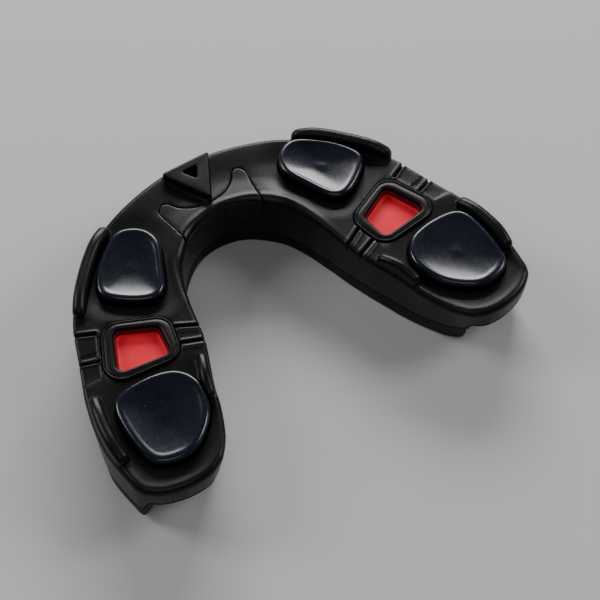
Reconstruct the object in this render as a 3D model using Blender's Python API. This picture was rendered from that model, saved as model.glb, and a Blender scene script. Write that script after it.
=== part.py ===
"""Boxing mouthguard, standing underside up on the rims of its two flanges.

A black rubber frame carries the bite plate and hangs down on the cheek side and on the tongue side.
A softer liner inside it holds the channel for the teeth. Four glossy bite pads, two bezels with red
inserts and a two-lobed front bridge are let into the plate. The arch opens towards -Y, its front is
towards +Y, and +X is the right arm. Dimensions are in millimetres; MM turns them into metres.
"""

import math

import bmesh
import bpy
from mathutils import Vector

MM = 0.001
GAP = 0.3  # clearance between neighbouring mouldings

# Heights above the flange rims
PLATE_TOP = 10.2
PLATE_THICKNESS = 2.2
LINER_THICKNESS = 1.4
PAD_RISE = 1.3
RAIL_RISE = 2.0
WEDGE_RISE = 1.3
BEZEL_RISE = 0.5

# Depths below the top of the plate
PAD_SOCKET_DEPTH = 1.0
BEZEL_DEPTH = 0.7
INSERT_DEPTH = 1.2
BRIDGE_DEPTH = 0.9
TAB_LENGTH = 3.9
GROOVE_DEPTH = 0.5

# Wall thicknesses and widths
FRAME_WALL = 0.9
RIM_WIDTH = 1.75
BEZEL_RING = 1.6
GROOVE_WIDTH = 0.4
RAIL_WIDTH = 1.8
INNER_RAIL_WIDTH = 1.5

# The outlines below are laid out from the line through the two windows, which lies
# this far in front of the middle of the arch's length.
WINDOW_LINE = 1.5

# The front rails are moulded this far to the right of the arch's middle line
FRONT_SHIFT = 0.5

OUTLINE_STEP = 1.2  # spacing of the points along a smooth outline

# The plate's rounded edge, from its foot to the flat top: depth and distance let in
EDGE_PROFILE = [(1.5, 0.0), (0.6, 0.15), (0.15, 0.5), (0.0, 0.95)]

# Right half of the plate's outline, from the front of the arch round the heel to the tongue side.
# Each point has x, y, the depth of the frame's wall, the depth of the liner's flange, and how far
# the wall leans in under the plate at a depth of 10 mm.
ARCH = [
    (0.0, 21.3, 7.6, 10.2, 1.0),
    (6.5, 20.5, 7.6, 10.2, 1.0),
    (13.0, 18.4, 7.6, 10.2, 1.2),
    (18.2, 15.4, 7.6, 10.2, 1.4),
    (22.8, 10.8, 7.6, 10.2, 1.4),
    (26.4, 5.6, 7.6, 10.2, 1.2),
    (28.8, -0.7, 7.6, 10.2, 0.9),
    (31.0, -7.0, 7.4, 10.2, 0.6),
    (32.1, -13.5, 7.0, 9.8, 0.2),
    (31.6, -19.4, 6.4, 9.3, 0.3),
    (31.2, -21.0, 6.2, 9.1, 0.4),
    (30.5, -22.0, 3.4, 4.2, 0.5),
    (28.4, -23.4, 3.4, 4.2, 0.6),
    (25.2, -24.2, 3.4, 4.2, 0.6),
    (22.2, -24.1, 3.4, 4.2, 0.6),
    (20.2, -23.3, 3.4, 4.2, 1.6),
    (19.2, -22.6, 5.8, 10.2, 2.6),
    (17.5, -20.2, 6.0, 10.2, 1.9),
    (15.9, -16.4, 6.7, 10.2, 1.3),
    (14.9, -12.8, 6.9, 10.2, 0.6),
    (12.5, -6.4, 7.0, 10.2, 0.6),
    (11.15, 0.0, 7.4, 10.2, 0.0),
    (9.8, 4.0, 7.6, 10.2, 0.0),
    (8.2, 6.9, 7.6, 10.2, 0.0),
    (5.4, 9.6, 7.5, 10.2, 0.0),
    (2.8, 10.8, 7.4, 10.2, 0.2),
    (0.0, 11.2, 7.4, 10.2, 0.2),
]

FRONT_PAD = [
    (16.2, 2.8), (19.2, 4.3), (21.7, 6.8), (21.2, 9.3), (18.9, 12.3),
    (15.1, 14.9), (12.0, 13.7), (11.0, 10.8), (12.4, 7.0), (14.1, 3.7),
]
REAR_PAD = [
    (27.9, -8.8), (23.6, -7.9), (19.3, -9.0), (17.5, -12.2), (18.7, -16.6),
    (22.0, -19.7), (25.0, -20.3), (28.1, -18.7), (28.9, -13.4),
]

# How far each pad is moved from the outline's place on the right arm, or from its mirror image
PADS = [
    ("front_bite_pad", FRONT_PAD, "right", (0.45, 0.25)),
    ("front_bite_pad", FRONT_PAD, "left", (0.75, -0.35)),
    ("rear_bite_pad", REAR_PAD, "right", (0.5, 0.1)),
    ("rear_bite_pad", REAR_PAD, "left", (0.5, -0.2)),
]

# Virtual corners of the bezel, then the radius of every corner
BEZEL = [(23.33, 2.89), (15.02, -0.78), (16.45, -7.02), (27.29, -5.76)]
BEZEL_RADIUS = 2.3

# Rails: where each one starts and ends beside the outline, its width, how far its middle is let in
# from the outline, and how far both sides' rails are moved to the right
RAILS = [
    ((16.4, 16.6), (25.9, 6.2), RAIL_WIDTH, 0.6, FRONT_SHIFT),
    ((30.4, -6.9), (32.0, -16.2), RAIL_WIDTH, 1.25, 0.0),
    ((13.6, -9.6), (15.2, -14.6), INNER_RAIL_WIDTH, 1.1, 0.0),
]

# Flex grooves across the plate beside the bezel
GROOVES = [
    ((24.2, 2.2), (28.2, 4.2)),
    ((25.9, -2.1), (30.4, -0.6)),
    ((14.9, -2.7), (10.6, -5.3)),
    ((15.6, -5.9), (11.4, -7.5)),
]

WEDGE = [(-4.0, 20.2), (4.0, 20.2), (0.0, 12.7)]
WEDGE_RADIUS = 0.3
WEDGE_POCKET = [(-1.3, 18.9), (1.3, 18.9), (0.0, 16.7)]
WEDGE_POCKET_RADIUS = 0.2

# Right half of the bridge's outline, from the dip at the middle over the lobe to the arch's inside
BRIDGE_HALF = [
    (0.0, 12.6), (2.6, 13.1), (4.6, 14.5), (5.6, 15.9), (6.5, 15.9), (6.9, 14.8), (6.4, 11.6), (6.0, 6.5),
]
TAB_EDGES = (1.7, 6.0)
TAB_RADIUS = 1.4

RUBBER = (0.012, 0.012, 0.013)
LINER_RUBBER = (0.009, 0.009, 0.010)
PAD_BLUE_BLACK = (0.010, 0.014, 0.026)
BEZEL_RUBBER = (0.015, 0.015, 0.016)
INSERT_RED = (0.62, 0.035, 0.055)


def clear_scene():
    for item in list(bpy.data.objects):
        bpy.data.objects.remove(item, do_unlink=True)


def make_material(name, colour, roughness):
    material = bpy.data.materials.new(name)
    material.use_nodes = True
    shader = material.node_tree.nodes["Principled BSDF"]
    shader.inputs["Base Color"].default_value = (*colour, 1.0)
    shader.inputs["Roughness"].default_value = roughness
    shader.inputs["Metallic"].default_value = 0.0
    return material


# Outlines: lists of plan points, each a 2-D Vector

def mirrored(points):
    return [Vector((-p[0], p[1])) for p in reversed(points)]


def catmull_rom(before, start, end, after, t):
    """Point at t on the smooth curve from start to end; all four are Vectors of one size."""
    return 0.5 * (
        2.0 * start
        + (end - before) * t
        + (2.0 * before - 5.0 * start + 4.0 * end - after) * t ** 2
        + (3.0 * start - before - 3.0 * end + after) * t ** 3
    )


def closed_curve(controls, step, steps_a_span=24):
    """Even points round the smooth closed curve through the controls, with their place in controls."""
    count = len(controls)
    fine = []
    for i in range(count):
        four = [Vector(controls[(i + k) % count][:2]) for k in (-1, 0, 1, 2)]
        for j in range(steps_a_span):
            t = j / steps_a_span
            fine.append((catmull_rom(*four, t), i + t))
    fine.append((fine[0][0], float(count)))
    lengths = [0.0]
    for (a, _), (b, _) in zip(fine, fine[1:]):
        lengths.append(lengths[-1] + (b - a).length)
    total = round(lengths[-1] / step)
    result = []
    k = 0
    for i in range(total):
        wanted = lengths[-1] * i / total
        while lengths[k + 1] < wanted:
            k += 1
        t = (wanted - lengths[k]) / (lengths[k + 1] - lengths[k])
        point = fine[k][0].lerp(fine[k + 1][0], t)
        place = fine[k][1] + (fine[k + 1][1] - fine[k][1]) * t
        result.append((point, place))
    return result


def smooth_outline(controls, step=OUTLINE_STEP):
    return [point for point, _ in closed_curve(controls, step)]


def rounded_outline(corners, radius, arc_steps=5):
    """Polygon whose corners are arcs of the given radius."""
    corners = [Vector(c) for c in corners]
    result = []
    for i, corner in enumerate(corners):
        to_last = (corners[i - 1] - corner).normalized()
        to_next = (corners[(i + 1) % len(corners)] - corner).normalized()
        half_angle = to_last.angle(to_next) / 2
        centre = corner + (to_last + to_next).normalized() * radius / math.sin(half_angle)
        reach = radius / math.tan(half_angle)
        start = corner + to_last * reach - centre
        turn = start.angle_signed(corner + to_next * reach - centre)
        first = math.atan2(start.y, start.x)
        for k in range(arc_steps + 1):
            angle = first - turn * k / arc_steps
            result.append(centre + Vector((math.cos(angle), math.sin(angle))) * radius)
    return result


def signed_area(outline):
    return 0.5 * sum(a.x * b.y - b.x * a.y for a, b in zip(outline, outline[1:] + outline[:1]))


def inward_normals(outline):
    """Unit normals that point into the closed outline, whichever way round it runs."""
    turn = 1.0 if signed_area(outline) > 0 else -1.0
    normals = []
    for i in range(len(outline)):
        along = outline[(i + 1) % len(outline)] - outline[i - 1]
        normals.append(turn * Vector((-along.y, along.x)).normalized())
    return normals


def inset(outline, distance):
    """The outline moved inwards; a negative distance moves it outwards."""
    return [p + n * distance for p, n in zip(outline, inward_normals(outline))]


def stadium(path, width, end_steps=5):
    """Outline of a bar with round ends that follows an open path."""
    path = [Vector(p) for p in path]
    half = width / 2
    sides = []
    for i, point in enumerate(path):
        along = (path[min(i + 1, len(path) - 1)] - path[max(i - 1, 0)]).normalized()
        sides.append(Vector((-along.y, along.x)) * half)

    def round_end(centre, side):
        angle = math.atan2(side.y, side.x)
        turns = [angle - math.pi * k / end_steps for k in range(1, end_steps)]
        return [centre + Vector((math.cos(a), math.sin(a))) * half for a in turns]

    left = [p + s for p, s in zip(path, sides)]
    right = [p - s for p, s in zip(path, sides)]
    return left + round_end(path[-1], sides[-1]) + right[::-1] + round_end(path[0], -sides[0])


# Solids

def add_object(name, mesh_data, material):
    mesh = bpy.data.meshes.new(name)
    mesh_data.to_mesh(mesh)
    mesh_data.free()
    mesh.materials.append(material)
    mesh.shade_smooth()
    mesh.set_sharp_from_angle(angle=math.radians(35))
    item = bpy.data.objects.new(name, mesh)
    bpy.context.scene.collection.objects.link(item)
    return item


def lift(outline, height):
    """Plan points to 3-D points in metres; height is in mm above the rims."""
    return [Vector((p.x, p.y + WINDOW_LINE, height)) * MM for p in outline]


def stack(name, rings, material):
    """Closed solid through rings of equal length, with a face over the first and the last ring."""
    solid = bmesh.new()
    loops = [[solid.verts.new(point) for point in ring] for ring in rings]
    for low, high in zip(loops, loops[1:]):
        for i in range(len(low)):
            j = (i + 1) % len(low)
            solid.faces.new((low[i], low[j], high[j], high[i]))
    solid.faces.new(loops[0])
    solid.faces.new(loops[-1])
    bmesh.ops.recalc_face_normals(solid, faces=solid.faces)
    return add_object(name, solid, material)


def raised(name, outline, bottom, top, shoulder, material):
    """Upright solid on an outline, with a rounded top shoulder; heights are above the plate's top."""
    rings = [lift(outline, PLATE_TOP + bottom)]
    steps = 4 if shoulder > 0.4 else 2
    for k in range(steps + 1):
        angle = math.pi / 2 * k / steps
        distance = shoulder * (1 - math.cos(angle))
        height = top - shoulder * (1 - math.sin(angle))
        rings.append(lift(inset(outline, distance), PLATE_TOP + height))
    return stack(name, rings, material)


def ring(name, outline, width, bottom, top, chamfer, material):
    """Upright ring inside an outline, with chamfered top edges."""
    inner = inset(outline, width)
    profile = [
        (outline, bottom), (outline, top - chamfer), (inset(outline, chamfer), top),
        (inset(outline, width - chamfer), top), (inner, top - chamfer), (inner, bottom),
    ]
    solid = bmesh.new()
    loops = [[solid.verts.new(p) for p in lift(line, PLATE_TOP + height)] for line, height in profile]
    for low, high in zip(loops, loops[1:] + loops[:1]):
        for i in range(len(low)):
            j = (i + 1) % len(low)
            solid.faces.new((low[i], low[j], high[j], high[i]))
    bmesh.ops.recalc_face_normals(solid, faces=solid.faces)
    return add_object(name, solid, material)


def as_cutter(item):
    item.hide_render = True
    item.display_type = "WIRE"
    return item


def boolean(item, other, operation):
    modifier = item.modifiers.new(operation.lower(), "BOOLEAN")
    modifier.operation = operation
    modifier.solver = "EXACT"
    if isinstance(other, bpy.types.Collection):
        modifier.operand_type = "COLLECTION"
        modifier.collection = other
    else:
        modifier.object = other
    return modifier


def collect(name, items):
    group = bpy.data.collections.new(name)
    bpy.context.scene.collection.children.link(group)
    for item in items:
        bpy.context.scene.collection.objects.unlink(item)
        group.objects.link(item)
    return group


# The arch: its outline, and the walls that hang from it

class Arch:
    """The plate's outline, with the wall depths and the lean at each of its points."""

    def __init__(self):
        left = [(-p[0], *p[1:]) for p in ARCH[-2:0:-1]]
        controls = ARCH + left
        samples = closed_curve(controls, OUTLINE_STEP)
        self.outline = [point for point, _ in samples]
        self.normals = inward_normals(self.outline)
        wall_data = [self.wall_at(controls, place) for _, place in samples]
        self.frame_depth, self.flange_depth, self.lean = zip(*wall_data)

    @staticmethod
    def wall_at(controls, place):
        first = int(place)
        t = place - first
        a = controls[first % len(controls)][2:]
        b = controls[(first + 1) % len(controls)][2:]
        return [u + (v - u) * t for u, v in zip(a, b)]

    def ring(self, depths, let_in):
        """Ring at a depth below the plate at each point, let in from the leaning wall."""
        points = []
        for i, point in enumerate(self.outline):
            depth = depths[i] if isinstance(depths, (list, tuple)) else depths
            distance = let_in + self.lean[i] * depth / 10.0
            plan = point + self.normals[i] * distance
            points.append(Vector((plan.x, plan.y + WINDOW_LINE, PLATE_TOP - depth)) * MM)
        return points

    def span(self, start, end, let_in):
        """Path beside the outline between the outline's nearest points to start and end."""
        def nearest(spot):
            return min(range(len(self.outline)), key=lambda i: (self.outline[i] - Vector(spot)).length)
        first, last = sorted((nearest(start), nearest(end)))
        return [self.outline[i] + self.normals[i] * let_in for i in range(first, last + 1)]


def deeper(depths, extra):
    return [depth + extra for depth in depths]


def edge_rings(arch):
    """The rounded edge of the plate, up to its flat top."""
    return [arch.ring(depth, let_in) for depth, let_in in EDGE_PROFILE]


def build_envelope(arch, name, material):
    """The frame's outer form as one solid block, without the hollow under its plate."""
    return stack(name, [arch.ring(arch.frame_depth, 0.0), *edge_rings(arch)], material)


def build_frame_blank(arch, material):
    """Plate and walls, hollow underneath."""
    rings = [
        arch.ring(PLATE_THICKNESS, FRAME_WALL + 0.8),
        arch.ring(PLATE_THICKNESS + 0.5, FRAME_WALL),
        arch.ring(arch.frame_depth, FRAME_WALL),
        arch.ring(arch.frame_depth, 0.0),
        *edge_rings(arch),
    ]
    return stack("outer_frame", rings, material)


def build_liner(arch, material):
    """Tray inside the frame; below the frame's rim it widens to the frame's outer face."""
    top = PLATE_THICKNESS + GAP
    roof = top + LINER_THICKNESS
    inside = FRAME_WALL + GAP
    rings = [
        arch.ring(top, inside + 0.8),
        arch.ring(top + 0.5, inside),
        arch.ring(deeper(arch.frame_depth, GAP), inside),
        arch.ring(deeper(arch.frame_depth, GAP), 0.1),
        arch.ring(deeper(arch.flange_depth, -0.3), 0.1),
        arch.ring(arch.flange_depth, 0.4),
        arch.ring(arch.flange_depth, RIM_WIDTH),
        arch.ring(roof + 0.2, RIM_WIDTH + 0.4),
        arch.ring(roof, RIM_WIDTH + 1.1),
    ]
    return stack("gel_liner", rings, material)


# The bridge at the front of the arch

def bridge_outline(grow):
    """Outline of the bridge's top, moved out by grow, without its edge past the arch's inside."""
    half = [Vector(p) for p in BRIDGE_HALF]
    samples = []
    for i in range(len(half) - 2):
        before = half[i - 1] if i else Vector((-half[1].x, half[1].y))
        for k in range(4):
            samples.append(catmull_rom(before, half[i], half[i + 1], half[i + 2], k / 4))
    samples += [half[-2], half[-1]]
    return inset(mirrored(samples)[:-1] + samples, -grow)


def tab_profile(grow):
    """Outline of the right tab as (x, depth) pairs, open at the top, with round lower corners."""
    left, right = TAB_EDGES[0] - grow, TAB_EDGES[1] + grow
    bottom = TAB_LENGTH + grow
    profile = [(left, 0.4), (right, 0.4)]
    for start, centre_x in ((0.0, right - TAB_RADIUS), (90.0, left + TAB_RADIUS)):
        for k in range(5):
            angle = math.radians(start + 22.5 * k)
            profile.append((
                centre_x + TAB_RADIUS * math.cos(angle),
                bottom - TAB_RADIUS + TAB_RADIUS * math.sin(angle),
            ))
    return profile


def inner_wall_y(arch, x):
    """Y of the arch's front inner edge at x."""
    for a, b in zip(arch.outline, arch.outline[1:] + arch.outline[:1]):
        if 5.0 < a.y < 13.0 and min(a.x, b.x) <= x <= max(a.x, b.x) and a.x != b.x:
            return a.y + (b.y - a.y) * (x - a.x) / (b.x - a.x)
    raise ValueError("x is beyond the front of the arch")


def tab_volume(arch, name, side, grow, material):
    """Block that reaches BRIDGE_DEPTH (and grow) into the wall, from clear of it on the inside."""
    near, far = [], []
    for x, depth in tab_profile(grow):
        wall = inner_wall_y(arch, x)
        near.append(Vector((side * x, wall - 3.0 + WINDOW_LINE, PLATE_TOP - depth)) * MM)
        far.append(Vector((side * x, wall + BRIDGE_DEPTH + grow + WINDOW_LINE, PLATE_TOP - depth)) * MM)
    return as_cutter(stack(name, [near, far], material))


def bridge_volume(arch, name, grow, material):
    """Everything that the bridge takes from the frame's outer form, moved out by grow."""
    outline = bridge_outline(grow)
    rings = [lift(outline, PLATE_TOP - BRIDGE_DEPTH - grow), lift(outline, PLATE_TOP + 1.0)]
    top = as_cutter(stack(name, rings, material))
    left = tab_volume(arch, name + "_tab_left", -1, grow, material)
    right = tab_volume(arch, name + "_tab_right", 1, grow, material)
    boolean(top, collect(name + "_tabs", [left, right]), "UNION")
    return top


# Details of the plate

def both_sides(points, shift=0.0):
    """The points of the right arm and of the left arm, all moved to the right, with their side's name."""
    right = [Vector(p) for p in points]
    sides = (("right", right), ("left", mirrored(right)))
    return [(side, [p + Vector((shift, 0.0)) for p in outline]) for side, outline in sides]


def build_rails(arch, material):
    rails = []
    for i, (start, end, width, let_in, shift) in enumerate(RAILS):
        path = arch.span(start, end, let_in)
        for side, points in both_sides(path, shift):
            outline = stadium(points, width)
            rails.append(as_cutter(raised(f"rail_{i}_{side}", outline, -1.2, RAIL_RISE, 0.6, material)))
    return rails


def build_grooves(material):
    grooves = []
    for i, ends in enumerate(GROOVES):
        for side, points in both_sides(ends):
            outline = stadium(points, GROOVE_WIDTH, 2)
            rings = [lift(outline, PLATE_TOP - GROOVE_DEPTH), lift(outline, PLATE_TOP + 1.0)]
            grooves.append(as_cutter(stack(f"groove_{i}_{side}", rings, material)))
    return grooves


def pad_outlines(step):
    """Names and outlines of the four bite pads."""
    result = []
    for name, controls, side, shift in PADS:
        outline = smooth_outline(controls, step)
        outline = outline if side == "right" else mirrored(outline)
        result.append((f"{name}_{side}", [p + Vector(shift) for p in outline]))
    return result


def build_sockets(material):
    """Cutters for the pads' sockets and for the windows right through the plate."""
    seats = [(f"{name}_socket", outline, PAD_SOCKET_DEPTH) for name, outline in pad_outlines(OUTLINE_STEP)]
    for side, outline in both_sides(rounded_outline(BEZEL, BEZEL_RADIUS)):
        seats.append((f"window_{side}", outline, PLATE_THICKNESS + 1.0))
    sockets = []
    for name, outline, depth in seats:
        wide = inset(outline, -GAP)
        rings = [lift(wide, PLATE_TOP - depth), lift(wide, PLATE_TOP + 1.0)]
        sockets.append(as_cutter(stack(name, rings, material)))
    return sockets


def build_wedge(material):
    outline = rounded_outline(WEDGE, WEDGE_RADIUS, 3)
    return as_cutter(raised("wedge", outline, -1.2, WEDGE_RISE, 0.25, material))


def build_wedge_pocket(material):
    outline = rounded_outline(WEDGE_POCKET, WEDGE_POCKET_RADIUS, 2)
    rings = [lift(outline, PLATE_TOP + 0.1), lift(outline, PLATE_TOP + WEDGE_RISE + 1.0)]
    return as_cutter(stack("wedge_pocket", rings, material))


def build_frame(arch, material):
    frame = build_frame_blank(arch, material)
    additions = build_rails(arch, material) + [build_wedge(material)]
    boolean(frame, collect("frame_additions", additions), "UNION")
    cuts = build_sockets(material) + build_grooves(material) + [build_wedge_pocket(material)]
    boolean(frame, collect("frame_cuts", cuts), "DIFFERENCE")
    boolean(frame, bridge_volume(arch, "bridge_seat", GAP, material), "DIFFERENCE")


def build_bridge(arch, material):
    bridge = build_envelope(arch, "front_bridge", material)
    boolean(bridge, bridge_volume(arch, "bridge_form", 0.0, material), "INTERSECT")


def build_pads(material):
    for name, outline in pad_outlines(1.0):
        raised(name, outline, GAP - PAD_SOCKET_DEPTH, PAD_RISE, 0.5, material)


def build_windows(bezel_material, insert_material):
    for side, outline in both_sides(rounded_outline(BEZEL, BEZEL_RADIUS)):
        ring(f"window_bezel_{side}", outline, BEZEL_RING, -BEZEL_DEPTH, BEZEL_RISE, 0.3, bezel_material)
        rings = [lift(outline, PLATE_TOP - PLATE_THICKNESS), lift(outline, PLATE_TOP - INSERT_DEPTH)]
        stack(f"shock_insert_{side}", rings, insert_material)


def main():
    clear_scene()
    frame_rubber = make_material("frame_rubber", RUBBER, 0.48)
    liner_rubber = make_material("liner_rubber", LINER_RUBBER, 0.55)
    pad_rubber = make_material("pad_gloss", PAD_BLUE_BLACK, 0.22)
    bezel_rubber = make_material("bezel_rubber", BEZEL_RUBBER, 0.42)
    insert_rubber = make_material("insert_red", INSERT_RED, 0.4)
    arch = Arch()
    build_frame(arch, frame_rubber)
    build_liner(arch, liner_rubber)
    build_pads(pad_rubber)
    build_windows(bezel_rubber, insert_rubber)
    build_bridge(arch, frame_rubber)


main()
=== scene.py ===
"""Looks of a boxing mouthguard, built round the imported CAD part.

The guard stands underside up on its flange rims, with the arch open towards -Y. Shapes are worked
out in millimetres: plan points as in the CAD part, and heights measured from the flat top of the
bite plate. The moulded rubber parts are signed distance fields on an even grid, negative inside the
rubber, and are meshed at their zero level.
"""

import math

import bpy
import numpy as np
from mathutils import Matrix, Vector


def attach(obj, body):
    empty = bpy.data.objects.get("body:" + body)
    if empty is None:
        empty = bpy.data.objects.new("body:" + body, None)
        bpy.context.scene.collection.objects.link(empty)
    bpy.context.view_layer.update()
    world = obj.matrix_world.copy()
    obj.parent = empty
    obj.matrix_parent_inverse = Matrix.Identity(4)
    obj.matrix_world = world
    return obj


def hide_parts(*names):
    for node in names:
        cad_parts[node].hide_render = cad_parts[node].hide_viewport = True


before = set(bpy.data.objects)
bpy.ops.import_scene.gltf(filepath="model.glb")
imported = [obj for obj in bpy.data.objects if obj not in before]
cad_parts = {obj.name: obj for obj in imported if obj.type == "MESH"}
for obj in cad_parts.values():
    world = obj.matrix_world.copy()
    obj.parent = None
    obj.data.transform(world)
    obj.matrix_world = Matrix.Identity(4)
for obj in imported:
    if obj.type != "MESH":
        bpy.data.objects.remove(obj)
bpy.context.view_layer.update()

MM = 0.001
CELL = 0.15

# Share of their faces that the moulded pieces keep
MESH_SHARE = 0.24
LINER_SHARE = MESH_SHARE / 2
BRIDGE_SHARE = 0.6

# Heights from the flange rims, and where the plan's origin is in the frame
PLATE_TOP = 10.2
WINDOW_LINE = 1.5

# Heights and depths from the plate's top
PLATE_THICKNESS = 2.2
PAD_RISE = 1.3
PAD_SOCKET_DEPTH = 1.0
RAIL_RISE = 2.0
WEDGE_RISE = 1.3
WEDGE_POCKET_FLOOR = 0.1
BEZEL_DEPTH = 0.9
INSERT_DEPTH = 1.2
BRIDGE_DEPTH = 0.9
TAB_LENGTH = 3.9

# Walls, rims and clearances
FRAME_WALL = 0.9
RIM_WIDTH = 1.75
LINER_THICKNESS = 1.4
GAP = 0.3
PIECE_GROWTH = 0.22  # how much of its clearance each inlaid piece fills
RAIL_WIDTH = 1.8
INNER_RAIL_WIDTH = 1.5
RAIL_END = 3.2  # length over which a rail falls towards its end
RAIL_FALL = 0.55  # how far it has fallen there
RAIL_REACH = 1.4  # where its fall stops growing, as a share of that length

# Soft forms of the plate's surface
BASIN_DEPTH = 0.28
VALLEY_DEPTH = 0.28
VALLEY_REACH = 4.2
VALLEY_START = 5.0  # place along Y where the valley starts
VALLEY_RAMP = 5.0  # length over which it deepens
VALLEY_MARGIN = 0.7  # width of the plate's edge that it leaves alone
BASIN_REACH = 3.8
LIP_WIDTH = 0.5
SLOT_DEPTH = 0.5
SLOT_WIDTH = 0.17
SLOT_REACH = 1.5  # where a slot's side ends, in slot widths
SLOT_LIP = 0.10
SLOT_LIP_PLACE = 2.3  # how far the lip is from the slot's middle, in slot widths
SLOT_LIP_WIDTH = 0.16
RIB_HEIGHT = 0.22
RIB_WIDTH = 0.28
PANEL_EDGE = 0.2

# The front rails are moulded this far to the right of the arch's middle line
FRONT_SHIFT = 0.5

# Right half of the plate's outline from the front of the arch round the heel to the tongue side:
# x, y, depth of the frame's wall, depth of the liner's flange, lean of the wall at a depth of 10 mm,
# radius of the plate's edge, and height of the lip just inside that edge
ARCH = [
    (0.0, 21.3, 7.6, 10.2, 1.0, 0.9, 0.0),
    (6.5, 20.5, 7.6, 10.2, 1.0, 0.9, 0.0),
    (13.0, 18.4, 7.6, 10.2, 1.2, 0.9, 0.0),
    (18.2, 15.4, 7.6, 10.2, 1.4, 0.9, 0.0),
    (22.8, 10.8, 7.6, 10.2, 1.4, 0.9, 0.0),
    (26.4, 5.6, 7.6, 10.2, 1.2, 0.6, 0.0),
    (28.8, -0.7, 7.6, 10.2, 0.9, 0.5, 0.0),
    (31.0, -7.0, 7.4, 10.2, 0.6, 0.7, 0.0),
    (32.1, -13.5, 7.0, 9.8, 0.2, 0.9, 0.0),
    (31.6, -19.4, 6.4, 9.3, 0.3, 0.9, 0.1),
    (31.2, -21.0, 6.2, 9.1, 0.4, 0.9, 0.08),
    (30.5, -22.0, 3.4, 4.2, 0.5, 0.9, 0.08),
    (28.4, -23.4, 3.4, 4.2, 0.6, 0.9, 0.08),
    (25.2, -24.2, 3.4, 4.2, 0.6, 0.9, 0.08),
    (22.2, -24.1, 3.4, 4.2, 0.6, 0.9, 0.08),
    (20.2, -23.3, 3.4, 4.2, 1.6, 0.9, 0.08),
    (19.2, -22.6, 5.8, 10.2, 2.6, 0.9, 0.08),
    (17.5, -20.2, 6.0, 10.2, 1.9, 0.9, 0.08),
    (15.9, -16.4, 6.7, 10.2, 1.3, 0.8, 0.1),
    (14.9, -12.8, 6.9, 10.2, 0.6, 0.7, 0.05),
    (12.5, -6.4, 7.0, 10.2, 0.6, 0.6, 0.0),
    (11.15, 0.0, 7.4, 10.2, 0.0, 0.7, 0.05),
    (9.8, 4.0, 7.6, 10.2, 0.0, 1.1, 0.1),
    (8.2, 6.9, 7.6, 10.2, 0.0, 1.3, 0.12),
    (5.4, 9.6, 7.5, 10.2, 0.0, 1.0, 0.1),
    (2.8, 10.8, 7.4, 10.2, 0.2, 0.8, 0.1),
    (0.0, 11.2, 7.4, 10.2, 0.2, 0.8, 0.1),
]

FRONT_PAD = [
    (16.2, 2.8), (19.2, 4.3), (21.7, 6.8), (21.2, 9.3), (18.9, 12.3),
    (15.1, 14.9), (12.0, 13.7), (11.0, 10.8), (12.4, 7.0), (14.1, 3.7),
]
REAR_PAD = [
    (27.9, -8.8), (23.6, -7.9), (19.3, -9.0), (17.5, -12.2), (18.7, -16.6),
    (22.0, -19.7), (25.0, -20.3), (28.1, -18.7), (28.9, -13.4),
]

# How far each pad is moved from the outline's place on the right arm, or from its mirror image
PADS = [
    ("front_bite_pad", FRONT_PAD, "right", (0.45, 0.25)),
    ("front_bite_pad", FRONT_PAD, "left", (0.75, -0.35)),
    ("rear_bite_pad", REAR_PAD, "right", (0.5, 0.1)),
    ("rear_bite_pad", REAR_PAD, "left", (0.5, -0.2)),
]

# Virtual corners of the bezel, and the radius of every corner
BEZEL = [(23.33, 2.89), (15.02, -0.78), (16.45, -7.02), (27.29, -5.76)]
BEZEL_RADIUS = 2.3

# Virtual corners of the opening inside the bezel, and the radius of every corner
OPENING = [(22.45, 1.5), (16.8, -1.3), (17.35, -6.0), (25.2, -4.9)]
OPENING_RADIUS = 1.1

# Rails: where each starts and ends beside the outline, its width, how far its middle is let in, and
# how far both sides' rails are moved to the right
RAILS = [
    ((16.4, 16.6), (25.9, 6.2), RAIL_WIDTH, 0.6, FRONT_SHIFT),
    ((30.4, -6.9), (32.0, -16.2), RAIL_WIDTH, 1.25, 0.0),
    ((13.6, -9.6), (15.2, -14.6), INNER_RAIL_WIDTH, 1.1, 0.0),
]

# Flex slots across the plate beside the bezel, each with a raised lip on both sides
SLOTS = [
    ((24.6, 2.25), (29.0, 4.3)),
    ((26.2, -1.8), (30.5, -0.3)),
    ((15.0, -2.6), (10.6, -5.0)),
    ((15.6, -5.3), (11.2, -7.1)),
]

# Short ribs that stand up beside the inner slots
RIBS = [
    ((14.9, -3.4), (12.3, -4.8)),
    ((15.6, -6.1), (12.9, -7.2)),
]

# Flex panels outside the bezel, stepped down from the plate: corners, then depth
PANELS = [
    ([(24.6, 2.2), (29.5, 4.5), (30.5, 0.7), (25.7, -0.3)], 0.14),
    ([(25.7, -0.3), (30.5, 0.7), (31.0, -0.1), (26.2, -1.8)], 0.22),
    ([(26.2, -1.8), (31.0, -0.1), (32.0, -4.3), (27.2, -4.3)], 0.14),
]

WEDGE = [(-4.0, 20.2), (4.0, 20.2), (0.0, 12.7)]
WEDGE_RADIUS = 0.3
WEDGE_POCKET = [(-1.3, 18.9), (1.3, 18.9), (0.0, 16.7)]
WEDGE_POCKET_RADIUS = 0.2

# Right half of the bridge's outline, from the dip at the middle over the lobe to the arch's inside
BRIDGE_HALF = [
    (0.0, 12.6), (2.6, 13.1), (4.6, 14.5), (5.6, 15.9),
    (6.5, 15.9), (6.9, 14.8), (6.4, 11.6), (6.0, 6.5),
]
TAB_EDGES = (1.7, 6.0)
TAB_RADIUS = 1.4


# Outlines: arrays of plan points

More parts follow.
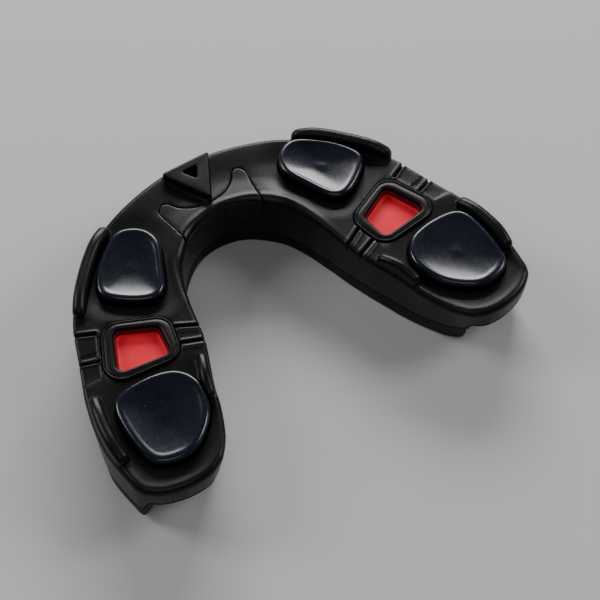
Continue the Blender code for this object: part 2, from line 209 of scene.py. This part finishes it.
def catmull_rom(controls, steps, closed=True):
    """Points on the smooth curve through the controls, with steps points to a span."""
    controls = np.array(controls, float)
    if closed:
        rows = [np.roll(controls, -k, axis=0) for k in (-1, 0, 1, 2)]
    else:
        before_first = 2 * controls[0] - controls[1]
        after_last = 2 * controls[-1] - controls[-2]
        padded = np.vstack([before_first, controls, after_last])
        rows = [padded[k:len(padded) - 3 + k] for k in range(4)]
    before, start, end, after = rows
    spans = []
    for t in np.arange(steps) / steps:
        spans.append(0.5 * (
            2 * start + (end - before) * t
            + (2 * before - 5 * start + 4 * end - after) * t ** 2
            + (3 * start - before - 3 * end + after) * t ** 3
        ))
    points = np.stack(spans, axis=1).reshape(-1, controls.shape[1])
    return points if closed else np.vstack([points, controls[-1]])


def evenly(points, step, closed=True):
    """The same line with its points a step apart."""
    if closed:
        points = np.vstack([points, points[:1]])
    spans = np.linalg.norm(np.diff(points[:, :2], axis=0), axis=1)
    lengths = np.concatenate([[0], np.cumsum(spans)])
    count = max(2, round(lengths[-1] / step))
    wanted = np.linspace(0, lengths[-1], count + 1)
    even = np.column_stack([np.interp(wanted, lengths, column) for column in points.T])
    return even[:-1] if closed else even


def rounded_outline(corners, radius, arc_steps=8):
    """Polygon whose corners are arcs of the given radius."""
    corners = np.array(corners, float)
    points = []
    neighbours = np.roll(corners, 1, axis=0), corners, np.roll(corners, -1, axis=0)
    for last, corner, after in zip(*neighbours):
        to_last = (last - corner) / np.linalg.norm(last - corner)
        to_next = (after - corner) / np.linalg.norm(after - corner)
        half_angle = math.acos(to_last @ to_next) / 2
        middle = (to_last + to_next) / np.linalg.norm(to_last + to_next)
        centre = corner + middle * radius / math.sin(half_angle)
        start = corner + to_last * radius / math.tan(half_angle) - centre
        stop = corner + to_next * radius / math.tan(half_angle) - centre
        turn = math.atan2(start[0] * stop[1] - start[1] * stop[0], start @ stop)
        first = math.atan2(start[1], start[0])
        for k in range(arc_steps + 1):
            angle = first + turn * k / arc_steps
            points.append(centre + radius * np.array([math.cos(angle), math.sin(angle)]))
    return np.array(points)


def inward_normals(outline):
    """Unit normals that point into the closed outline, whichever way round it runs."""
    along = np.roll(outline, -1, axis=0) - np.roll(outline, 1, axis=0)
    normals = np.column_stack([-along[:, 1], along[:, 0]])
    ahead = np.roll(outline, -1, axis=0)
    area = np.sum(outline[:, 0] * ahead[:, 1] - ahead[:, 0] * outline[:, 1])
    return math.copysign(1.0, area) * normals / np.linalg.norm(normals, axis=1)[:, None]


def inset(outline, distance):
    return outline + inward_normals(outline) * distance


def both_sides(points, shift=0.0):
    """The points of the right arm and of the left arm, all moved to the right."""
    right = np.asarray(points, float)
    return (right + (shift, 0)), (right * (-1, 1) + (shift, 0))


# The sampled space: the plan, and heights from the plate's top

PLAN_X = np.arange(-33.6, 33.6, CELL)[:, None]
PLAN_Y = np.arange(-25.0, 22.3, CELL)[None, :]
PLAN_SHAPE = (PLAN_X.size, PLAN_Y.size)


def nearest(path, closed):
    """Distance of every plan point to a path, and the place of the nearest point along it."""
    path = np.asarray(path)[:, :2]
    ends = np.roll(path, -1, axis=0) if closed else path[1:]
    best = np.full(PLAN_SHAPE, np.inf)
    place = np.zeros(PLAN_SHAPE)
    for i, (a, b) in enumerate(zip(path, ends)):
        along = b - a
        across_x, across_y = PLAN_X - a[0], PLAN_Y - a[1]
        t = np.clip((across_x * along[0] + across_y * along[1]) / (along @ along), 0, 1)
        squared = (across_x - t * along[0]) ** 2 + (across_y - t * along[1]) ** 2
        closer = squared < best
        best[closer] = squared[closer]
        place[closer] = (i + t)[closer]
    return np.sqrt(best), place


def inside(outline):
    crossed = np.zeros(PLAN_SHAPE, bool)
    for a, b in zip(outline, np.roll(outline, -1, axis=0)):
        if a[1] != b[1]:
            straddles = (a[1] > PLAN_Y) != (b[1] > PLAN_Y)
            crossed ^= straddles & (PLAN_X < a[0] + (PLAN_Y - a[1]) * (b[0] - a[0]) / (b[1] - a[1]))
    return crossed


def region(outline):
    """Signed distance of every plan point to a closed outline."""
    outline = np.asarray(outline)[:, :2]
    distance, _ = nearest(outline, True)
    return np.where(inside(outline), -distance, distance)


def smooth_step(value):
    value = np.clip(value, 0, 1)
    return value * value * (3 - 2 * value)


def bump(value, centre, width):
    return np.exp(-((value - centre) / width) ** 2)


def meet(a, b, radius):
    """Overlap of two fields, with the edge between them rounded."""
    rounded = np.hypot(np.maximum(a + radius, 0), np.maximum(b + radius, 0))
    return np.minimum(np.maximum(a, b), -radius) + rounded


def join(a, b, radius):
    """Union of two fields, with a fillet in the corner between them."""
    return -meet(-a, -b, radius)


def cut(a, b, radius):
    """The first field with the second taken out, and the new edge rounded."""
    return meet(a, -b, radius)


class Space:
    """Sampled block over the whole plan, between two heights from the plate's top."""

    def __init__(self, bottom, top):
        self.heights = np.arange(bottom, top, CELL, dtype=np.float32)
        self.z = self.heights[None, None, :]

    def prism(self, plan, bottom, top, radius):
        """Upright solid on a plan region, with a rounded top edge."""
        body = meet(plan[:, :, None], self.z - top, radius)
        return np.maximum(body, bottom - self.z)


class Arch:
    """The plate's outline, and what belongs to the nearest place on it for every plan point."""

    def __init__(self):
        left = [(-row[0], *row[1:]) for row in ARCH[-2:0:-1]]
        controls = np.array(ARCH + left)
        steps = 12
        smooth = catmull_rom(controls[:, :2], steps)
        places = np.arange(len(smooth)) / steps
        wrapped = np.vstack([controls, controls[:1]])
        indices = np.arange(len(wrapped))
        data = np.column_stack([np.interp(places, indices, column) for column in wrapped.T[2:]])
        self.line = evenly(np.column_stack([smooth, data]), 0.6)
        self.outline = self.line[:, :2]
        self.normals = inward_normals(self.outline)
        distance, place = nearest(self.outline, True)
        self.let_in = np.where(inside(self.outline), distance, -distance)
        around = np.vstack([self.line, self.line[:1]])
        columns = [np.interp(place, np.arange(len(around)), c) for c in around.T[2:]]
        self.frame_depth, self.flange_depth, self.lean, self.edge_radius, self.lip = columns

    def wall(self, z, let_in=0.0):
        """Field outside the leaning wall, let in from it."""
        return let_in - self.let_in[:, :, None] - self.lean[:, :, None] * z / 10.0

    def beside(self, start, end, let_in):
        """Path beside the outline between the outline's nearest points to start and end."""
        first, last = sorted(
            int(np.argmin(np.linalg.norm(self.outline - np.array(spot), axis=1)))
            for spot in (start, end)
        )
        return (self.outline + self.normals * let_in)[first:last + 1]


def pad_outlines(steps=6):
    """Names and outlines of the four bite pads."""
    result = []
    for name, controls, side, shift in PADS:
        outline = catmull_rom(controls, steps) * (1 if side == "right" else -1, 1)
        result.append((f"{name}_{side}", outline + shift))
    return result


def panel_depth():
    """How far the flex panels step down, with soft edges where they meet the plate."""
    depth = np.zeros(PLAN_SHAPE)
    for corners, step in PANELS:
        for outline in both_sides(corners):
            depth = np.maximum(depth, step * smooth_step(0.5 - region(outline) / PANEL_EDGE))
    return depth


def plate_surface(arch):
    """Height of the plate's top at every plan point."""
    surface = np.zeros(PLAN_SHAPE)
    for _, outline in pad_outlines():
        away = np.maximum(region(outline), 0)
        surface -= BASIN_DEPTH * smooth_step(1 - away / BASIN_REACH)
    in_front = smooth_step((PLAN_Y - VALLEY_START) / VALLEY_RAMP)
    surface -= VALLEY_DEPTH * in_front * smooth_step((arch.let_in - VALLEY_MARGIN) / VALLEY_REACH)
    surface += arch.lip * bump(arch.let_in, arch.edge_radius, LIP_WIDTH)
    surface -= panel_depth()
    for ends in SLOTS:
        for path in both_sides(ends):
            away, _ = nearest(path, False)
            surface -= SLOT_DEPTH * smooth_step(SLOT_REACH - away / SLOT_WIDTH)
            surface += SLOT_LIP * bump(away, SLOT_WIDTH * SLOT_LIP_PLACE, SLOT_LIP_WIDTH)
    for ends in RIBS:
        for path in both_sides(ends):
            away, _ = nearest(path, False)
            surface += RIB_HEIGHT * bump(away, 0.0, RIB_WIDTH)
    return surface


def steepness(surface):
    """Length of the slope's normal, which turns a height above the surface into a distance."""
    across, along = np.gradient(surface, CELL)
    return np.sqrt(1 + across ** 2 + along ** 2)


def arch_body(arch, space, surface, bottom):
    """Solid arch under the plate's surface, with its rounded edge."""
    above = (space.z - surface[:, :, None]) / steepness(surface)[:, :, None]
    body = meet(arch.wall(space.z), above, arch.edge_radius[:, :, None])
    return meet(body, -bottom[:, :, None] - space.z, 0.15)


def bridge_region():
    half = catmull_rom(BRIDGE_HALF, 8, closed=False)
    half[-1][0] = BRIDGE_HALF[-1][0]
    outline = np.vstack([half, half[::-1][:-1] * (-1, 1)])
    return region(outline)


def bridge_field(arch, space, grow):
    """What the bridge takes from the arch: its top, and a tab that hangs down the inner wall."""
    top = np.maximum(bridge_region()[:, :, None] - grow, -BRIDGE_DEPTH - grow - space.z)
    left, right = TAB_EDGES
    half_width = (right - left) / 2 - TAB_RADIUS
    x = np.abs(PLAN_X - (left + right) / 2)[:, :, None] - half_width
    below = -(TAB_LENGTH - TAB_RADIUS) - space.z
    tab = np.hypot(np.maximum(x, 0), np.maximum(below, 0)) + np.minimum(np.maximum(x, below), 0)
    tab = tab - TAB_RADIUS - grow
    in_wall = -arch.wall(space.z, BRIDGE_DEPTH + grow)
    front = np.abs(PLAN_Y - 10.0)[:, :, None] - 6.0
    return np.minimum(top, np.maximum(np.maximum(tab, in_wall), front))


def rail_top(path):
    """Height of a rail's crest at every plan point: it falls ever faster towards both ends."""
    top = np.full(PLAN_SHAPE, RAIL_RISE)
    for end, further in ((path[0], path[2]), (path[-1], path[-3])):
        along = (further - end) / np.linalg.norm(further - end)
        inwards = (PLAN_X - end[0]) * along[0] + (PLAN_Y - end[1]) * along[1]
        top = top - RAIL_FALL * np.clip(1 - inwards / RAIL_END, 0, RAIL_REACH) ** 2
    return top


def frame_field(arch, space, surface):
    body = arch_body(arch, space, surface, arch.frame_depth)
    hollow = meet(arch.wall(space.z, FRAME_WALL), space.z + PLATE_THICKNESS, 0.8)
    field = np.maximum(body, -hollow)
    for start, end, width, let_in, shift in RAILS:
        for path in both_sides(arch.beside(start, end, let_in), shift):
            away, _ = nearest(path, False)
            top = rail_top(path)[:, :, None]
            rail = space.prism(away - width / 2, -1.5, top, width / 2 - 0.03)
            field = join(field, rail, 0.12)
    wedge = space.prism(region(rounded_outline(WEDGE, WEDGE_RADIUS)), -1.0, WEDGE_RISE, 0.22)
    field = join(field, wedge, 0.15)
    pocket = region(rounded_outline(WEDGE_POCKET, WEDGE_POCKET_RADIUS))[:, :, None]
    field = cut(field, np.maximum(pocket, WEDGE_POCKET_FLOOR - space.z), 0.12)
    for _, outline in pad_outlines():
        socket = region(outline)[:, :, None] - GAP
        field = cut(field, np.maximum(socket, -PAD_SOCKET_DEPTH - space.z), 0.08)
    for outline in both_sides(rounded_outline(BEZEL, BEZEL_RADIUS)):
        window = region(outline)[:, :, None] - GAP
        field = cut(field, window + 0 * space.z, 0.08)
    return cut(field, bridge_field(arch, space, GAP), 0.10)


def bridge_piece_field(arch, space, surface):
    body = arch_body(arch, space, surface, arch.frame_depth)
    return meet(body, bridge_field(arch, space, PIECE_GROWTH), 0.12)


def liner_field(arch, space):
    """Tray inside the frame, with a band below the frame's rim and the channel for the teeth."""
    inside_frame = FRAME_WALL + GAP
    tray = meet(arch.wall(space.z, inside_frame), space.z + PLATE_THICKNESS + GAP, 0.8)
    band_top = -arch.frame_depth[:, :, None] - 0.12
    band = meet(arch.wall(space.z, 0.06), space.z - band_top, 0.15)
    body = join(tray, band, 0.2)
    roof = PLATE_THICKNESS + GAP + LINER_THICKNESS
    channel = meet(arch.wall(space.z, RIM_WIDTH), space.z + roof, 1.1)
    rim = -arch.flange_depth[:, :, None] - space.z
    return meet(cut(body, channel, 0.5), rim, 0.45)


# Meshes

def surface_net(values, origin):
    """Quads on the zero level of a field, with one point in each cell that it crosses."""
    inside_field = values < 0
    cells = np.array(values.shape)
    sums, owners, quads = [], [], []
    for axis in range(3):
        near = [slice(None)] * 3
        far = [slice(None)] * 3
        near[axis], far[axis] = slice(None, -1), slice(1, None)
        start = np.argwhere(inside_field[tuple(near)] != inside_field[tuple(far)])
        u, v = (axis + 1) % 3, (axis + 2) % 3
        start = start[(start[:, u] > 0) & (start[:, v] > 0)]
        stop = start.copy()
        stop[:, axis] += 1
        a = values[tuple(start.T)]
        b = values[tuple(stop.T)]
        point = start.astype(float)
        point[:, axis] += a / (a - b)
        around = []
        for du, dv in ((0, 0), (-1, 0), (-1, -1), (0, -1)):
            cell = start.copy()
            cell[:, u] += du
            cell[:, v] += dv
            around.append(np.ravel_multi_index(cell.T, cells))
        around = np.column_stack(around)
        outward = a < 0
        quads.append(np.where(outward[:, None], around, around[:, ::-1]))
        owners.append(around.ravel())
        sums.append(np.repeat(point, 4, axis=0))
    quads = np.vstack(quads)
    owners = np.concatenate(owners)
    sums = np.vstack(sums)
    used, place = np.unique(owners, return_inverse=True)
    count = np.bincount(place)
    middles = np.column_stack([np.bincount(place, sums[:, k]) / count for k in range(3)])
    return middles * CELL + origin, np.searchsorted(used, quads)


def add_mesh(name, points, faces, material):
    """Object from points in mm above the plate's top and on the plan."""
    mesh = bpy.data.meshes.new(name)
    placed = (np.asarray(points) + (0, WINDOW_LINE, PLATE_TOP)) * MM
    mesh.from_pydata(placed.tolist(), [], [list(map(int, face)) for face in faces])
    mesh.materials.append(material)
    mesh.shade_smooth()
    item = bpy.data.objects.new(name, mesh)
    bpy.context.scene.collection.objects.link(item)
    return item


def moulded(name, field, space, material, share):
    """Piece from a field; share is the part of its faces that it keeps."""
    origin = (PLAN_X[0, 0], PLAN_Y[0, 0], space.heights[0])
    points, faces = surface_net(field, origin)
    item = add_mesh(name, points, faces, material)
    if share < 1:
        thin = item.modifiers.new("fewer_faces", "DECIMATE")
        thin.ratio = share
        bpy.context.view_layer.update()
        graph = bpy.context.evaluated_depsgraph_get()
        mesh = bpy.data.meshes.new_from_object(item.evaluated_get(graph))
        item.modifiers.clear()
        item.data = mesh
        mesh.shade_smooth()
    return item


def grid_faces(rows, columns):
    """Quads between closed rings: rows rings of columns points each."""
    faces = []
    for row in range(rows - 1):
        here, above = row * columns, (row + 1) * columns
        for c in range(columns):
            d = (c + 1) % columns
            faces.append((here + c, here + d, above + d, above + c))
    return faces


def facing_up(points, faces):
    """Faces turned round where the last one points down."""
    a, b, c = (points[i] for i in faces[-1][:3])
    if np.cross(b - a, c - b)[2] < 0:
        return [face[::-1] for face in faces]
    return faces


def button(name, rings, material):
    """Closed piece through rings of (outline, height), from its foot to the last ring's centre."""
    rows = [np.column_stack([line, np.full(len(line), height)]) for line, height in rings]
    points = np.vstack(rows + [rows[-1].mean(axis=0)])
    columns = len(rows[0])
    last = len(points) - 1 - columns
    faces = grid_faces(len(rings), columns)
    faces.append(tuple(range(columns))[::-1])
    faces += [(last + c, last + (c + 1) % columns, len(points) - 1) for c in range(columns)]
    return add_mesh(f"{name}_soft", points, facing_up(points, faces), material)


# Bite pads: radius of the shoulder, depth of the dish, and height of the low nub at its middle. The
# widths of the dish's steep edge and of the nub are shares of the way from the middle to the crest.
PAD_SHOULDER = 0.55
PAD_DISH = 0.60
PAD_DISH_EDGE = 0.12
PAD_NUB = 0.07
PAD_NUB_WIDTH = 0.16


def pad_piece(name, outline, material):
    """Glossy pad: side wall, rounded shoulder, then a dish that is steepest beside the shoulder."""
    outline = inset(evenly(outline, 0.35), -PIECE_GROWTH)
    rings = [(outline, -PAD_SOCKET_DEPTH + GAP), (outline, PAD_RISE - PAD_SHOULDER)]
    for angle in np.linspace(0, math.pi / 2, 12)[1:]:
        distance = PAD_SHOULDER * (1 - math.cos(angle)) * 1.1
        rings.append((inset(outline, distance), PAD_RISE - PAD_SHOULDER * (1 - math.sin(angle))))
    crest, _ = rings[-1]
    centre = crest.mean(axis=0)
    for away in np.linspace(1, 0, 32)[1:-1]:
        dish = PAD_DISH * (1 - away ** 2) * smooth_step((1 - away) / PAD_DISH_EDGE)
        nub = PAD_NUB * math.exp(-(away / PAD_NUB_WIDTH) ** 2)
        rings.append((centre + (crest - centre) * away, PAD_RISE - dish + nub))
    return button(name, rings, material)


def round_about(outline, centre, count=160):
    """Points of an outline at even angles about a centre, so that two outlines can be joined."""
    away = np.asarray(outline) - centre
    angles = np.arctan2(away[:, 1], away[:, 0])
    order = np.argsort(angles)
    wanted = np.linspace(-math.pi, math.pi, count, endpoint=False)
    radii = np.interp(wanted, angles[order], np.linalg.norm(away, axis=1)[order], period=2 * math.pi)
    return centre + radii[:, None] * np.column_stack([np.cos(wanted), np.sin(wanted)])


def window_outlines():
    """The bezel's outer outline and its opening on either side, with points at the same angles."""
    outer = evenly(rounded_outline(BEZEL, BEZEL_RADIUS), 0.05)
    opening = evenly(rounded_outline(OPENING, OPENING_RADIUS), 0.05)
    centre = opening.mean(axis=0)
    outer, opening = (both_sides(round_about(line, centre)) for line in (outer, opening))
    return {"right": (outer[0], opening[0]), "left": (outer[1], opening[1])}


# Bezel's section from its outer foot over a thin bead: distance let in, and height
BEZEL_BEAD = [
    (0.0, -BEZEL_DEPTH), (0.0, 0.06), (0.03, 0.17), (0.11, 0.25),
    (0.20, 0.25), (0.28, 0.17), (0.33, 0.10),
]

# The crowned ring inside the bead: share of the way to the opening, and height
BEZEL_CROWN = [
    (0.0, 0.11), (0.12, 0.18), (0.3, 0.25), (0.55, 0.29), (0.78, 0.28),
    (0.9, 0.22), (0.96, 0.12), (1.0, -0.06), (1.0, -BEZEL_DEPTH),
]


def bezel_piece(side, material):
    outer, opening = window_outlines()[side]
    outer = inset(outer, -PIECE_GROWTH)
    rings = [(inset(outer, distance), height) for distance, height in BEZEL_BEAD]
    inner = inset(outer, BEZEL_BEAD[-1][0])
    rings += [(inner + (opening - inner) * share, height) for share, height in BEZEL_CROWN]
    rows = [np.column_stack([line, np.full(len(line), height)]) for line, height in rings]
    points = np.vstack(rows)
    columns = len(outer)
    faces = grid_faces(len(rings), columns)
    last = (len(rings) - 1) * columns
    faces += [(last + c, last + (c + 1) % columns, (c + 1) % columns, c) for c in range(columns)]
    top = faces[:columns * 10]
    if facing_up(points, top) != top:
        faces = [face[::-1] for face in faces]
    return add_mesh(f"window_bezel_{side}_soft", points, faces, material)


# Insert's section inside the bezel, from the lining's foot over its lip to the floor of the window:
# distance let in from the opening, and height above the plate's top
INSERT_LINING = [
    (-0.02, -INSERT_DEPTH), (0.02, -0.6), (0.04, -0.3), (0.12, -0.24), (0.20, -0.3), (0.26, -0.6),
    (0.32, -0.95), (0.45, -1.12), (0.65, -1.18),
]
PAINTED_SHADE_ROWS = (3, len(INSERT_LINING))  # rows of faces painted a darker red as the lining's shade

# The insert's floor: its rise to the middle, and a round gate mark's depth, radius and width
FLOOR_RISE = 0.04
MARK_DEPTH = 0.03
MARK_RADIUS = 1.0
MARK_WIDTH = 0.12


def insert_piece(side, material, lining_shade_material):
    outer, opening = window_outlines()[side]
    rings = [
        (outer, -PLATE_THICKNESS), (outer, -INSERT_DEPTH - 0.1), (inset(outer, 0.1), -INSERT_DEPTH),
    ]
    rings += [(inset(opening, distance), height) for distance, height in INSERT_LINING]
    edge, height = rings[-1]
    centre = edge.mean(axis=0)
    for share in np.linspace(0, 1, 14)[1:-1]:
        line = edge + (centre - edge) * share
        away = float(np.mean(np.linalg.norm(line - centre, axis=1)))
        mark = MARK_DEPTH * math.exp(-((away - MARK_RADIUS) / MARK_WIDTH) ** 2)
        rings.append((line, height + FLOOR_RISE * smooth_step(share) - mark))
    item = button(f"shock_insert_{side}", rings, material)
    # The lining's faces take the darker red: painted shade for the shadow inside the window.
    item.data.materials.append(lining_shade_material)
    first, last = (row * len(outer) for row in PAINTED_SHADE_ROWS)
    for polygon in list(item.data.polygons)[first:last]:
        polygon.material_index = 1
    return item


# Materials

def rubber(name, dark, light, roughness, gloss, grain_depth, grain_size=0.16):
    """Moulded rubber: cloudy colour and gloss, a fine grain, and a few pale specks of dust."""
    material = bpy.data.materials.new(name)
    material.use_nodes = True
    nodes, links = material.node_tree.nodes, material.node_tree.links
    shader = nodes["Principled BSDF"]
    shader.inputs["Specular IOR Level"].default_value = gloss
    place = nodes.new("ShaderNodeTexCoord").outputs["Object"]

    def noise(size, detail):
        node = nodes.new("ShaderNodeTexNoise")
        node.inputs["Scale"].default_value = 1.0 / (size * MM)
        node.inputs["Detail"].default_value = detail
        links.new(place, node.inputs["Vector"])
        return node.outputs["Fac"]

    def spread(value, low, high, to_low, to_high):
        node = nodes.new("ShaderNodeMapRange")
        limits = {"From Min": low, "From Max": high, "To Min": to_low, "To Max": to_high}
        for socket, number in limits.items():
            node.inputs[socket].default_value = number
        links.new(value, node.inputs["Value"])
        return node.outputs["Result"]

    def mix(factor, first, second):
        node = nodes.new("ShaderNodeMix")
        node.data_type = "RGBA"
        links.new(factor, node.inputs[0])
        for socket, value in ((node.inputs[6], first), (node.inputs[7], second)):
            if isinstance(value, tuple):
                socket.default_value = (*value, 1.0)
            else:
                links.new(value, socket)
        return node.outputs[2]

    clouds = noise(6.0, 4.0)
    grain = noise(grain_size, 2.0)
    base = mix(spread(clouds, 0.35, 0.65, 0.0, 1.0), dark, light)
    dust = mix(spread(noise(0.45, 1.0), 0.74, 0.80, 0.0, 0.30), base, (0.10, 0.098, 0.095))
    links.new(dust, shader.inputs["Base Color"])
    cloudy = spread(clouds, 0.3, 0.7, roughness * 0.92, roughness * 1.08)
    fine = nodes.new("ShaderNodeMath")
    fine.operation = "ADD"
    links.new(cloudy, fine.inputs[0])
    links.new(spread(grain, 0.3, 0.7, -0.1 * roughness, 0.1 * roughness), fine.inputs[1])
    links.new(fine.outputs[0], shader.inputs["Roughness"])
    relief = nodes.new("ShaderNodeBump")
    relief.inputs["Strength"].default_value = 1.0
    relief.inputs["Distance"].default_value = grain_depth * MM
    links.new(grain, relief.inputs["Height"])
    links.new(relief.outputs["Normal"], shader.inputs["Normal"])
    return material


# The studio

FLOOR_COLOUR = (0.48, 0.48, 0.47)
FLOOR_HALF = 1.5  # metres from the middle of the floor to its edge
LIGHT_DISTANCE = 0.6  # metres from the guard to each light


def build_floor():
    mesh = bpy.data.meshes.new("floor")
    half = FLOOR_HALF
    corners = [(-half, -half, 0), (half, -half, 0), (half, half, 0), (-half, half, 0)]
    mesh.from_pydata(corners, [], [(0, 1, 2, 3)])
    floor = bpy.data.objects.new("floor", mesh)
    bpy.context.scene.collection.objects.link(floor)
    material = bpy.data.materials.new("floor_paper")
    material.use_nodes = True
    shader = material.node_tree.nodes["Principled BSDF"]
    shader.inputs["Base Color"].default_value = (*FLOOR_COLOUR, 1.0)
    shader.inputs["Roughness"].default_value = 0.9
    mesh.materials.append(material)


def area_light(name, toward, size, power):
    """Soft light above the guard, in the direction given as heading and height in degrees."""
    heading, height = (math.radians(angle) for angle in toward)
    level = math.cos(height)
    away = Vector((math.sin(heading) * level, math.cos(heading) * level, math.sin(height)))
    light = bpy.data.lights.new(name, "AREA")
    light.shape = "RECTANGLE"
    light.size, light.size_y = size
    light.energy = power
    lamp = bpy.data.objects.new(name, light)
    lamp.location = away * LIGHT_DISTANCE
    lamp.rotation_mode = "QUATERNION"
    lamp.rotation_quaternion = away.to_track_quat("Z", "Y")
    bpy.context.scene.collection.objects.link(lamp)


def build_lights():
    world = bpy.data.worlds.new("studio")
    bpy.context.scene.world = world
    world.use_nodes = True
    background = world.node_tree.nodes["Background"]
    background.inputs["Color"].default_value = (0.9, 0.95, 1.0, 1.0)
    background.inputs["Strength"].default_value = 0.07
    area_light("key_behind", (33, 29), (0.42, 0.20), 4.4)
    area_light("left_side", (-40, 36), (0.20, 0.24), 1.4)
    area_light("right_side", (106, 36), (0.20, 0.24), 1.4)
    area_light("front_fill", (213, 60), (0.40, 0.30), 0.55)


# The camera looks down at 57 degrees, across the arch from its left heel: angles in radians, place in
# metres, focal length in millimetres
CAMERA_HEADING = 0.5760
CAMERA_DIP = 0.99492
CAMERA_PLACE = (-0.05537, -0.09434, 0.17103)
CAMERA_LENS = 84.0


def build_camera():
    camera = bpy.data.cameras.new("camera")
    camera.lens = CAMERA_LENS
    camera.clip_start, camera.clip_end = 0.01, 10.0
    item = bpy.data.objects.new("camera", camera)
    c, s = math.cos(CAMERA_HEADING), math.sin(CAMERA_HEADING)
    turn = Matrix(((c, -s, 0), (s, c, 0), (0, 0, 1)))
    right = Vector((1, 0, 0)) @ turn
    ahead = Vector((0, math.cos(CAMERA_DIP), -math.sin(CAMERA_DIP))) @ turn
    up = right.cross(ahead)
    axes = Matrix((right, up, -ahead)).transposed().to_4x4()
    item.matrix_world = Matrix.Translation(CAMERA_PLACE) @ axes
    bpy.context.scene.collection.objects.link(item)
    bpy.context.scene.camera = item


# Putting it together

def stand_for(item, node):
    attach(item, "root")
    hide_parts(node)


# The two colours that each rubber clouds between
BLACK = ((0.005, 0.005, 0.005), (0.008, 0.0077, 0.0073))
LINER_BLACK = ((0.003, 0.003, 0.0035), (0.006, 0.006, 0.006))
BLUE_BLACK = ((0.003, 0.004, 0.009), (0.005, 0.007, 0.014))
# darker red painted on the window's lining as its shade: painted shade, not a colour of its own
SHADE_RED = ((0.10, 0.004, 0.008), (0.14, 0.006, 0.012))
RED = ((0.72, 0.018, 0.034), (0.80, 0.026, 0.046))


def build_guard():
    black = rubber("frame_rubber", *BLACK, 0.33, 0.17, 0.012)
    bridge_black = rubber("bridge_rubber", *BLACK, 0.32, 0.19, 0.010)
    liner_black = rubber("liner_rubber", *LINER_BLACK, 0.50, 0.18, 0.010)
    bezel_black = rubber("bezel_rubber", *BLACK, 0.34, 0.17, 0.008)
    gloss = rubber("pad_gloss", *BLUE_BLACK, 0.22, 0.45, 0.002, 0.5)
    # the lining's rubber is the insert's red darkened as painted shade
    shade_red_rubber = rubber("insert_painted_shade", *SHADE_RED, 0.50, 0.15, 0.006)
    red = rubber("insert_red", *RED, 0.55, 0.15, 0.006)

    arch = Arch()
    surface = plate_surface(arch)
    space = Space(-8.2, 2.6)
    field = frame_field(arch, space, surface)
    body = moulded("outer_frame_moulded", field, space, black, MESH_SHARE)
    stand_for(body, "outer_frame")
    space = Space(-5.0, 1.0)
    field = bridge_piece_field(arch, space, surface)
    bridge = moulded("front_bridge_moulded", field, space, bridge_black, BRIDGE_SHARE)
    stand_for(bridge, "front_bridge")
    space = Space(-10.8, -2.0)
    field = liner_field(arch, space)
    liner = moulded("gel_liner_moulded", field, space, liner_black, LINER_SHARE)
    stand_for(liner, "gel_liner")
    for name, outline in pad_outlines(16):
        stand_for(pad_piece(name, outline, gloss), name)
    for side in ("right", "left"):
        stand_for(bezel_piece(side, bezel_black), f"window_bezel_{side}")
        stand_for(insert_piece(side, red, shade_red_rubber), f"shock_insert_{side}")


build_camera()
build_floor()
build_lights()
build_guard()
